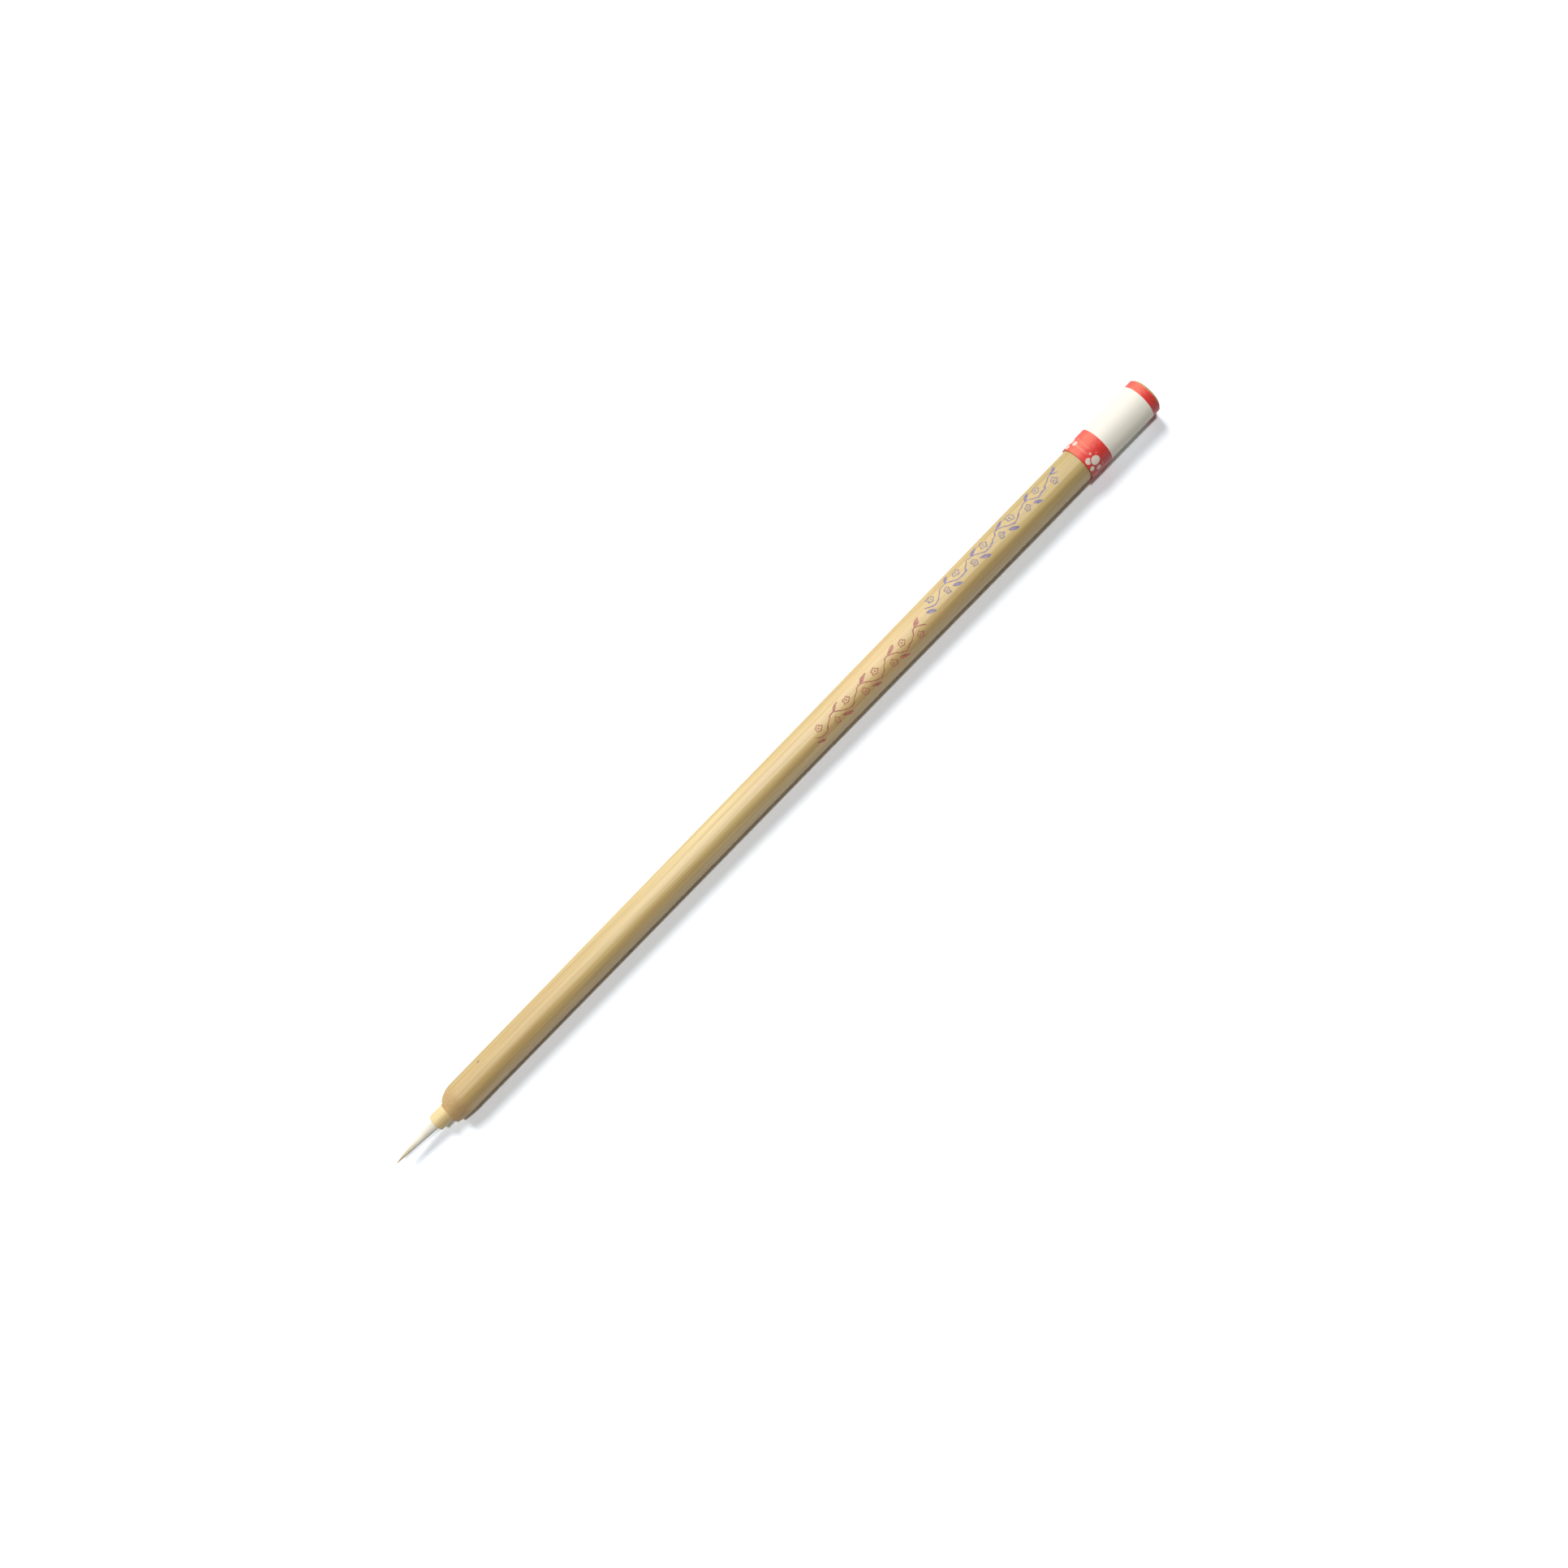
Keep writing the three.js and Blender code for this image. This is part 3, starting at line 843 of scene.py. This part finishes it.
HIDDEN_FINISHES: dict[str, HiddenFinish] = {
    "socket_glue": HiddenFinish(
        "hide_glue", srgb(176, 118, 50), srgb(150, 92, 32), 1.2, 0.25, 0.01, 0.4
    ),
    "root_rosin": HiddenFinish("rosin", srgb(122, 62, 20), srgb(88, 38, 10), 1.6, 0.12, 0.01, 0.6),
    "label_paste": HiddenFinish("paste", srgb(226, 216, 190), srgb(206, 192, 160), 2.0, 0.6, 0.01),
}
ROOT_FINISH = HiddenFinish("root_hair", srgb(206, 184, 142), srgb(176, 146, 98), 3.0, 0.55, 0.02)


@dataclass(frozen=True)
class ThreadFinish:
    """Undyed fuzzy thread."""

    base: Colour = srgb(226, 218, 198)
    groove: Colour = srgb(170, 154, 122)

    def paint(self) -> bpy.types.Material:
        """Returns the thread's material."""
        board = Board.for_finish("binding_thread")
        fuzz = board.noise(board.brush_place(), 9.0, 3.0)
        return board.finish(
            Base_Color=board.mix(self.base, self.groove, fuzz.above(0.5, 0.2)),
            Roughness=0.8,
            Normal=board.relief((fuzz, 0.01)),
            Sheen_Weight=0.2,
        )


# Pieces


@dataclass
class BambooStem:
    """A straight bamboo rod with a rounded nose, a socket for the ferrule and a pith hole."""

    nose_length: float = 4.1
    nose_face_radius: float = 2.65
    nose_lean: float = 0.4
    nose_skew: float = 0.22
    skew_softness: float = 0.7
    front_radius: float = 3.45
    middle_radius: float = 3.55
    rear_radius: float = 3.675
    rear_straight_x: float = 65.81
    butt_round: float = 0.24
    socket_radius: float = 1.965
    socket_floor_x: float = -82.45
    pith_radius: float = 0.8
    pith_edge: Pair = (0.1, 0.12)
    sides: int = 144
    nose_steps: int = 22
    edge_steps: int = 7
    station_step: float = 3.0
    sway: float = 0.009
    sway_share: float = 0.6

    def build(self) -> list[bpy.types.Object]:
        """Returns the finished stem."""
        shape = turned(self._outline(), self.sides)
        self._weather(shape)
        bamboo = StemBamboo(NOSE_X + self.nose_length, self.pith_radius, self.middle_radius)
        piece = finished(shape, "stem", bamboo.paint())
        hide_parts("bamboo_handle")
        return [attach(piece, "handle")]

    def _outline(self) -> list[Pair]:
        """Returns half the stem's outline: outside from nose to butt, then back inside."""
        drop = self.front_radius - self.nose_face_radius
        shares = [index / self.nose_steps for index in range(self.nose_steps + 1)]
        nose = [
            (NOSE_X + share * self.nose_length, self.front_radius - drop * (1 - share) ** 2)
            for share in shares
        ]
        start = NOSE_X + self.nose_length
        end = BUTT_X - self.butt_round
        count = round((end - start) / self.station_step)
        stations = [blend_numbers(start, end, index / count) for index in range(1, count)]
        barrel = [(x, self._radius_at(x)) for x in stations]
        rim = (BUTT_X, self.rear_radius - self.butt_round)
        butt = quarter_round(rim, (end, self.rear_radius), self.edge_steps)
        inside = [
            (BUTT_X, self.pith_radius + self.pith_edge[1]),
            (BUTT_X - self.pith_edge[0], self.pith_radius),
            (self.socket_floor_x, self.pith_radius),
            (self.socket_floor_x, self.socket_radius),
            (NOSE_X, self.socket_radius),
        ]
        return nose + barrel + butt[::-1] + inside

    def _radius_at(self, x: float) -> float:
        """Returns the stem's radius behind the nose, which grows slowly towards the butt."""
        start = NOSE_X + self.nose_length
        middle = (NOSE_X + BUTT_X) / 2
        if x < middle:
            share = (x - start) / (middle - start)
            return blend_numbers(self.front_radius, self.middle_radius, share)
        share = min(1.0, (x - middle) / (self.rear_straight_x - middle))
        return blend_numbers(self.middle_radius, self.rear_radius, share)

    def _weather(self, shape: bmesh.types.BMesh) -> None:
        """Lets the hand-cut nose be askew and the grown stem a little out of round."""
        for vertex in shape.verts:
            x, y, z = vertex.co
            reach = math.hypot(y, z)
            if x < NOSE_X + self.nose_length:
                self._lean(vertex, reach)
            elif reach >= self.front_radius - 0.3:
                turn = math.atan2(z, y)
                dip = 2 + math.sin(2 * turn + x / 41) + math.sin(3 * turn - x / 27 + 1.3)
                scale_across(vertex, 1 - self.sway * dip / 4 * self.sway_share)

    def _lean(self, vertex: bmesh.types.BMVert, reach: float) -> None:
        """Leans a corner of the nose to one side and sets it back on the upper side."""
        x, y, z = vertex.co
        fade = (1 - (x - NOSE_X) / self.nose_length) ** 2
        if reach > self.socket_radius + 0.1:
            scale_across(vertex, 1 - self.nose_lean * fade * y / reach**2)
        if reach > self.socket_radius - 0.1:
            upper = (y + z) / math.sqrt(2)
            set_back = (upper + math.hypot(upper, self.skew_softness)) / 2 * self.nose_skew
            vertex.co.x += set_back * fade


@dataclass
class Ferrule:
    """The pale bamboo sleeve between stem and hair, with an eased edge and a flared mouth."""

    rear_x: float = -82.65
    bore_radius: float = 1.18
    flare_radius: float = 1.4
    flare_depth: float = 0.35
    edge_round: float = 0.2
    station: float = 1.6
    sides: int = 112
    edge_steps: int = 7

    def build(self) -> list[bpy.types.Object]:
        """Returns the finished ferrule."""
        edge_x = MOUTH_X + self.edge_round
        rim = (MOUTH_X, FERRULE_RADIUS - self.edge_round)
        outline = [
            *quarter_round(rim, (edge_x, FERRULE_RADIUS), self.edge_steps),
            (edge_x + self.station, FERRULE_RADIUS),
            (self.rear_x, FERRULE_RADIUS),
            (self.rear_x, self.bore_radius),
            (MOUTH_X + self.flare_depth, self.bore_radius),
            (MOUTH_X, self.flare_radius),
        ]
        piece = finished(turned(outline, self.sides), "ferrule", FerruleBamboo().paint())
        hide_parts("bamboo_ferrule")
        return [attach(piece, "handle")]


@dataclass
class PaperLabel:
    """One strip of paper wound twice round the butt end, its outer end lapped over a little."""

    length: float = 18.74
    inner_radius: float = 3.74
    layer: float = 0.135
    paper: float = 0.128
    turns: int = 2
    start_turn: float = math.radians(213.3)
    climb: float = math.radians(13.6)
    lap: float = math.radians(24.5)
    steps_a_turn: int = 144
    rows: int = 6

    @property
    def winding(self) -> float:
        """The whole angle through which the strip winds."""
        return self.turns * math.tau + self.lap

    def build(self) -> list[bpy.types.Object]:
        """Returns the finished label."""
        top = math.pi / 2 + self.turns * math.tau - self.start_turn
        outer = self.inner_radius + self.turns * self.layer
        finish = LabelPaper(self.length, self.winding, outer, top)
        piece = finished(self._wound_sheet(), "label", finish.paint())
        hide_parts("paper_label")
        return [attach(piece, "handle")]

    def _radius_at(self, winding: float) -> float:
        """Returns the middle radius of the sheet after it has wound on by an angle."""
        ends = [turn * math.tau for turn in range(1, self.turns + 1)]
        layers = sum(eased(end - self.climb, end, winding) for end in ends)
        return self.inner_radius + self.layer * (layers + 0.5)

    def _wound_sheet(self) -> bmesh.types.BMesh:
        """Winds the strip, draws it out along the brush and gives it the thickness of paper."""
        shape = bmesh.new()
        wound = shape.verts.layers.float.new("wound")
        edges = self._wound_line(shape, wound)
        for _ in range(self.rows):
            drawn = bmesh.ops.extrude_edge_only(shape, edges=edges)["geom"]
            moved = [part for part in drawn if isinstance(part, bmesh.types.BMVert)]
            edges = [part for part in drawn if isinstance(part, bmesh.types.BMEdge)]
            edges = [edge for edge in edges if not edge.is_wire and set(edge.verts) <= set(moved)]
            bmesh.ops.translate(shape, vec=(self.length / self.rows, 0, 0), verts=moved)
        bmesh.ops.recalc_face_normals(shape, faces=shape.faces)
        outer = set(shape.verts)
        bmesh.ops.solidify(shape, geom=shape.faces[:], thickness=self.paper)
        self._centre(shape, wound, outer)
        bmesh.ops.recalc_face_normals(shape, faces=shape.faces)
        sheet = shape.loops.layers.uv.new("sheet")
        for face in shape.faces:
            for loop in face.loops:
                along = (loop.vert.co.x - LABEL_X) / self.length
                loop[sheet].uv = (along, loop.vert[wound])
        return shape

    def _wound_line(self, shape: bmesh.types.BMesh, wound: Any) -> list[bmesh.types.BMEdge]:
        """Winds the strip's front edge and marks each corner with its share of the winding."""
        count = round(self.winding / math.tau * self.steps_a_turn)
        corners = []
        for index in range(count + 1):
            angle = self.winding * index / count
            radius = self._radius_at(angle)
            turn = self.start_turn + angle
            place = (LABEL_X, radius * math.cos(turn), radius * math.sin(turn))
            corners.append(shape.verts.new(place))
            corners[-1][wound] = angle / self.winding
        return [shape.edges.new(pair) for pair in zip(corners, corners[1:])]

    def _centre(
        self, shape: bmesh.types.BMesh, wound: Any, outer: set[bmesh.types.BMVert]
    ) -> None:
        """Puts both faces of the sheet half its thickness from its middle line."""
        for vertex in shape.verts:
            side = 0.5 if vertex in outer else -0.5
            wanted = self._radius_at(vertex[wound] * self.winding) + side * self.paper
            x, y, z = vertex.co
            reach = math.hypot(y, z)
            vertex.co = (x, y * wanted / reach, z * wanted / reach)


@dataclass
class HairBundle:
    """One kind of hair: fine strands that stand in a ring and draw together into the point."""

    kind: Hair
    count: int
    inner: float
    outer: float
    reach: Pair
    width: float
    seed: int
    slot: str
    stray: float = 0.012
    flyaway: float = 0.09
    bow: float = 0.07
    slope: float = 0.09
    combed: float = 0.7
    lift: float = 0.45
    free_length: float = 11.0
    mouth_radius: float = 1.04
    fullness: float = 0.72
    root_depth: float = 1.0
    bend_length: float = 13.0
    segments: int = 10

    def build(self) -> list[bpy.types.Object]:
        """Returns the finished bundle, laid out from the ferrule's mouth."""
        name = self.kind.value.replace("_", "_fine_")
        piece = finished(self._strands(), name, HAIR_FINISHES[self.kind].paint(), 180)
        self._comb_normals(piece.data)
        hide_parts(self.kind.value)
        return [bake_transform(piece)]

    def _strand(self) -> bpy.types.Mesh:
        """Returns a straight strand of unit size along Z, from -0.5 at its root to 0.5."""
        shape = bmesh.new()
        bmesh.ops.create_cone(
            shape, cap_ends=True, segments=3, radius1=1.0, radius2=1.0, depth=1.0
        )
        sides = [edge for edge in shape.edges if abs(edge.verts[0].co.z - edge.verts[1].co.z) > 0.5]
        cuts = self.segments - 1
        bmesh.ops.subdivide_edges(shape, edges=sides, cuts=cuts, use_grid_fill=False)
        mesh = bpy.data.meshes.new("strand")
        shape.to_mesh(mesh)
        shape.free()
        return mesh

    def _strands(self) -> bmesh.types.BMesh:
        """Lays every strand of the bundle along its own line."""
        chance = random.Random(self.seed)
        strand = self._strand()
        size = len(strand.vertices)
        shape = bmesh.new()
        for _ in range(self.count):
            shape.from_mesh(strand)
        bpy.data.meshes.remove(strand)
        shape.verts.ensure_lookup_table()
        marks = shape.verts.layers.float_vector.new("strand")
        for index in range(self.count):
            line = self._line(index, chance)
            tint = chance.random()
            twist = chance.uniform(0, math.tau)
            for vertex in shape.verts[index * size : (index + 1) * size]:
                along = vertex.co.z + 0.5
                share, (x, y, z) = line(along)
                width = self._width_at(along)
                side = math.atan2(vertex.co.x, vertex.co.y) + twist
                vertex.co = (x, y + width * math.cos(side), z + width * math.sin(side))
                vertex[marks] = (share, tint, 0.0)
        strand_map = shape.loops.layers.uv.new("strand")
        for face in shape.faces:
            for loop in face.loops:
                loop[strand_map].uv = loop.vert[marks].xy
        shape.verts.layers.float_vector.remove(marks)
        return shape

    def _comb_normals(self, mesh: bpy.types.Mesh) -> None:
        """Turns the normals partly out and a little up, so that the tuft shades as one form."""
        combed = []
        for vertex in mesh.vertices:
            outward = Vector((-self.slope, vertex.co.y, vertex.co.z - AXIS_HEIGHT * MM))
            reach = outward.yz.length
            outward.x *= reach
            outward.z += self.lift * reach
            combed.append(vertex.normal.lerp(outward.normalized(), self.combed).normalized())
        mesh.normals_split_custom_set_from_vertices(combed)

    def _width_at(self, share: float) -> float:
        """Returns a strand's radius at a share of its length: full to its middle, then fine."""
        return self.width / 2 * max(0.3, 1 - eased(0.45, 1.0, share) * 0.72)

    def _line(self, index: int, chance: random.Random) -> Callable[[float], tuple[float, Point]]:
        """Chooses a strand's line.

        Args:
            index: Which strand it is.
            chance: The seeded source of its small differences.

        Returns:
            A function from a share of the strand to the share of the tuft and the place there.
        """
        golden = math.pi * (3 - math.sqrt(5))
        filled = (index + chance.random()) / self.count
        ring = math.sqrt(blend_numbers(self.inner**2, self.outer**2, filled))
        angle = index * golden + chance.uniform(-0.08, 0.08)
        reach = blend_numbers(*self.reach, chance.random() ** 0.8)
        if self.kind is Hair.CORE:
            reach = blend_numbers(self.reach[1], reach, min(1.0, ring / self.outer + 0.12))
        drift = chance.uniform(-0.5, 0.5) * 0.5
        lean = chance.uniform(-1, 1) * self.stray
        flyaway = chance.random() ** 12 * self.flyaway
        phase = chance.uniform(0, math.tau)
        loose = 0.25 + 0.7 * ring

        def at(share: float) -> tuple[float, Point]:
            """Returns the share of the tuft and the place at a share of the strand."""
            along = share * (reach * self.free_length + self.root_depth) - self.root_depth
            tuft = max(0.0, along / self.free_length)
            drawn = blend_numbers(ring, loose, eased(0.35, 0.8, tuft))
            swell = drawn * self.mouth_radius * max(0.0, 1 - tuft) ** self.fullness
            wave = math.sin(phase + tuft * 7) * self.stray * eased(0, 0.3, tuft)
            radius = swell + wave + flyaway * eased(0.3, 1.0, tuft)
            turn = angle + drift * tuft + lean
            bow = self.bow * math.sin(math.pi * min(1.0, tuft))
            return tuft, (MOUTH_X - along, radius * math.cos(turn) + bow, radius * math.sin(turn))

        return at


@dataclass
class RootWorks:
    """What holds the hair and the label: set root, thread, rosin, glue and paste."""

    ridge: float = 0.018
    sides: int = 150
    loops: int = 4
    pitch: float = 0.68
    thread_radius: float = 1.01
    thread_width: float = 0.18
    root_radius: float = 1.1
    waist_radius: float = 0.9
    corner: float = 0.2
    ply_twists: int = 22
    ply_bevel: float = 0.27
    ply_offset: float = 0.22
    steps_a_loop: int = 72

    def build(self) -> list[bpy.types.Object]:
        """Dresses the inner pieces and returns the new ones."""
        for node, finish in HIDDEN_FINISHES.items():
            self._dress(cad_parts[node], finish.paint())
        return [self._root(), self._thread()]

    @staticmethod
    def _dress(target: bpy.types.Object, material: bpy.types.Material) -> None:
        """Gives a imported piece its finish."""
        for slot in target.material_slots:
            slot.material = material
        if not target.material_slots:
            target.data.materials.append(material)

    def _root(self) -> bpy.types.Object:
        """Returns the plug of set hair, ridged along its length like a bundle of hairs."""
        low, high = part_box("hair_roots")
        front, rear = low.x / MM, high.x / MM
        middle = (front + rear) / 2
        half_waist = (self.loops + 1) * self.pitch / 2
        outline = [
            (front, 0.0),
            (front, self.root_radius - self.corner),
            (front + self.corner, self.root_radius),
            (middle - half_waist - self.corner, self.root_radius),
            (middle - half_waist, self.waist_radius),
            (middle + half_waist, self.waist_radius),
            (middle + half_waist + self.corner, self.root_radius),
            (rear - self.corner, self.root_radius),
            (rear, self.root_radius - self.corner),
            (rear, 0.0),
        ]
        shape = turned(outline, self.sides)
        for vertex in shape.verts:
            turn = math.atan2(vertex.co.z, vertex.co.y)
            ridge = 0.5 + 0.5 * math.cos(turn * self.sides / 3)
            scale_across(vertex, 1 - self.ridge * ridge)
        piece = finished(shape, "root_plug", ROOT_FINISH.paint())
        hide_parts("hair_roots")
        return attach(piece, "handle")

    def _thread(self) -> bpy.types.Object:
        """Returns the thread wound round the root, laid up from two plies."""
        low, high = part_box("hair_roots")
        start = (low.x + high.x) / 2 / MM - self.loops * self.pitch / 2
        curve = bpy.data.curves.new("thread", "CURVE")
        curve.dimensions = "3D"
        curve.bevel_depth = self.thread_width * self.ply_bevel
        curve.bevel_resolution = 1
        curve.use_fill_caps = True
        steps = self.loops * self.steps_a_loop
        ply_radius = self.thread_width * self.ply_offset
        for ply in (0.0, math.pi):
            spline = curve.splines.new("POLY")
            spline.points.add(steps)
            for index, point in enumerate(spline.points):
                share = index / steps
                turn = share * self.loops * math.tau
                lay = share * self.ply_twists * math.tau + ply
                radius = self.thread_radius + ply_radius * math.cos(lay)
                x = start + share * self.loops * self.pitch + ply_radius * math.sin(lay)
                point.co = (x, radius * math.cos(turn), radius * math.sin(turn), 1.0)
        laid = bpy.data.objects.new("thread", curve)
        mesh = bpy.data.meshes.new_from_object(laid)
        bpy.data.objects.remove(laid)
        shape = bmesh.new()
        shape.from_mesh(mesh)
        bpy.data.meshes.remove(mesh)
        bmesh.ops.remove_doubles(shape, verts=shape.verts, dist=FINE_WELD)
        piece = finished(shape, "thread_plies", ThreadFinish().paint())
        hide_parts("root_thread")
        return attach(piece, "handle")


# Light, floor and camera


@dataclass(frozen=True)
class Lamp:
    """A far soft lamp square to the brush.

    Its level is that on a white face that is square to it. A rise of under 90 degrees comes from
    the picture's upper left, and one of over 90 from the lower right.
    """

    name: str
    level: float
    rise: float
    width: float

    def hang(self) -> None:
        """Adds the lamp to the scene."""
        lamp = bpy.data.lights.new(self.name, "SUN")
        lamp.energy = self.level * math.pi
        lamp.angle = math.radians(self.width)
        hung = linked(bpy.data.objects.new(self.name, lamp))
        hung.rotation_euler = (-math.radians(90 - self.rise), 0, 0)


LAMPS = (
    Lamp("key", 0.56, 50.5, 18),
    Lamp("side", 0.28, 12, 20),
    Lamp("top", 0.34, 80.0, 5),
    Lamp("fill", 0.088, 172, 40),
)


@dataclass
class Studio:
    """A pale table in plain soft light, seen from straight above."""

    lens: float = 38.14
    sensor: float = 36.0
    height: float = 325.0
    aim: Pair = (0.98, -2.46)
    turn: float = math.radians(-45.757)
    near_and_far: Pair = (0.01, 20.0)
    floor_half: float = 1500.0
    rest_front: Pair = (-86.55, 0.56)
    rest_rear: Pair = (LABEL_X, 0.0)
    table: Colour = (0.7, 0.7, 0.7, 1)
    table_gain: float = 1.5
    table_tint: Point = (0.935, 0.972, 1.01)
    sky: Colour = (0.95, 0.97, 1.0, 1)
    sky_level: float = 0.012

    def build(self) -> None:
        """Makes the camera, the table, the lamps and the surroundings."""
        self._camera()
        self._table()
        for lamp in LAMPS:
            lamp.hang()
        self._surroundings()

    def _camera(self) -> None:
        """Looks straight down, with the brush aslant in the picture."""
        camera = bpy.data.cameras.new("camera")
        camera.type = "PERSP"
        camera.lens = self.lens
        camera.sensor_width = self.sensor
        camera.clip_start, camera.clip_end = self.near_and_far
        held = linked(bpy.data.objects.new("camera", camera))
        held.location = (self.aim[0] * MM, self.aim[1] * MM, (AXIS_HEIGHT + self.height) * MM)
        held.rotation_euler = (0, 0, self.turn)
        bpy.context.scene.camera = held

    def _table(self) -> None:
        """Lays the table under what the brush lies on: its nose and its label's front edge."""
        shape = bmesh.new()
        bmesh.ops.create_grid(shape, x_segments=1, y_segments=1, size=self.floor_half)
        run = self.rest_rear[0] - self.rest_front[0]
        tilt = math.atan2(self.rest_front[1] - self.rest_rear[1], run)
        turn = Matrix.Rotation(tilt, 3, "Y")
        bmesh.ops.rotate(shape, cent=(0, 0, 0), matrix=turn, verts=shape.verts)
        level = self.rest_rear[1] + self.rest_rear[0] * math.tan(tilt) - AXIS_HEIGHT
        bmesh.ops.translate(shape, vec=(0, 0, level), verts=shape.verts)
        floor = finished(shape, "table", self._table_finish())

    def _table_finish(self) -> bpy.types.Material:
        """Returns plain white board, which shows white where the light falls on it."""
        board = Board.for_finish("table_white")
        shade = (*(self.table_gain * channel for channel in self.table_tint), 1)
        plain = board.node("ShaderNodeBsdfDiffuse", {}, {"Color": self.table})
        shown = board.node("ShaderNodeBsdfDiffuse", {}, {"Color": shade})
        inputs = {0: board.seen_rays(), 1: plain, 2: shown}
        return board.surface(board.node("ShaderNodeMixShader", {}, inputs))

    def _surroundings(self) -> None:
        """Gives faint even light from all round, and shows white behind the table."""
        board = Board(bpy.data.worlds.new("surroundings"))
        faint = {"Color": self.sky, "Strength": self.sky_level}
        dim = board.node("ShaderNodeBackground", {}, faint)
        white = board.node("ShaderNodeBackground", {}, {"Color": (1, 1, 1, 1), "Strength": 1.0})
        mixed = board.node("ShaderNodeMixShader", {}, {0: board.seen_rays(), 1: dim, 2: white})
        bpy.context.scene.world = board.surface(mixed)


def parts() -> Iterable[Any]:
    """Returns the sub-assemblies of the brush in the order in which they are made."""
    return (
        BambooStem(),
        Ferrule(),
        PaperLabel(),
        RootWorks(),
        HairBundle(Hair.CORE, 420, 0.0, 0.6, (0.88, 1.0), 0.052, 11, "brown_hair"),
        HairBundle(Hair.BELLY, 260, 0.6, 0.8, (0.5, 0.66), 0.052, 23, "cream_hair"),
        HairBundle(Hair.COVER, 680, 0.8, 1.0, (0.6, 0.9), 0.05, 37, "white_hair"),
    )


def main() -> None:
    """Builds the scene in order."""
    logging.basicConfig(level=logging.INFO, format="%(message)s")
    bpy.context.scene.view_settings.view_transform = "Standard"
    Studio().build()
    for part in parts():
        for piece in part.build():
            report(piece)


if __name__ == "__main__":
    main()
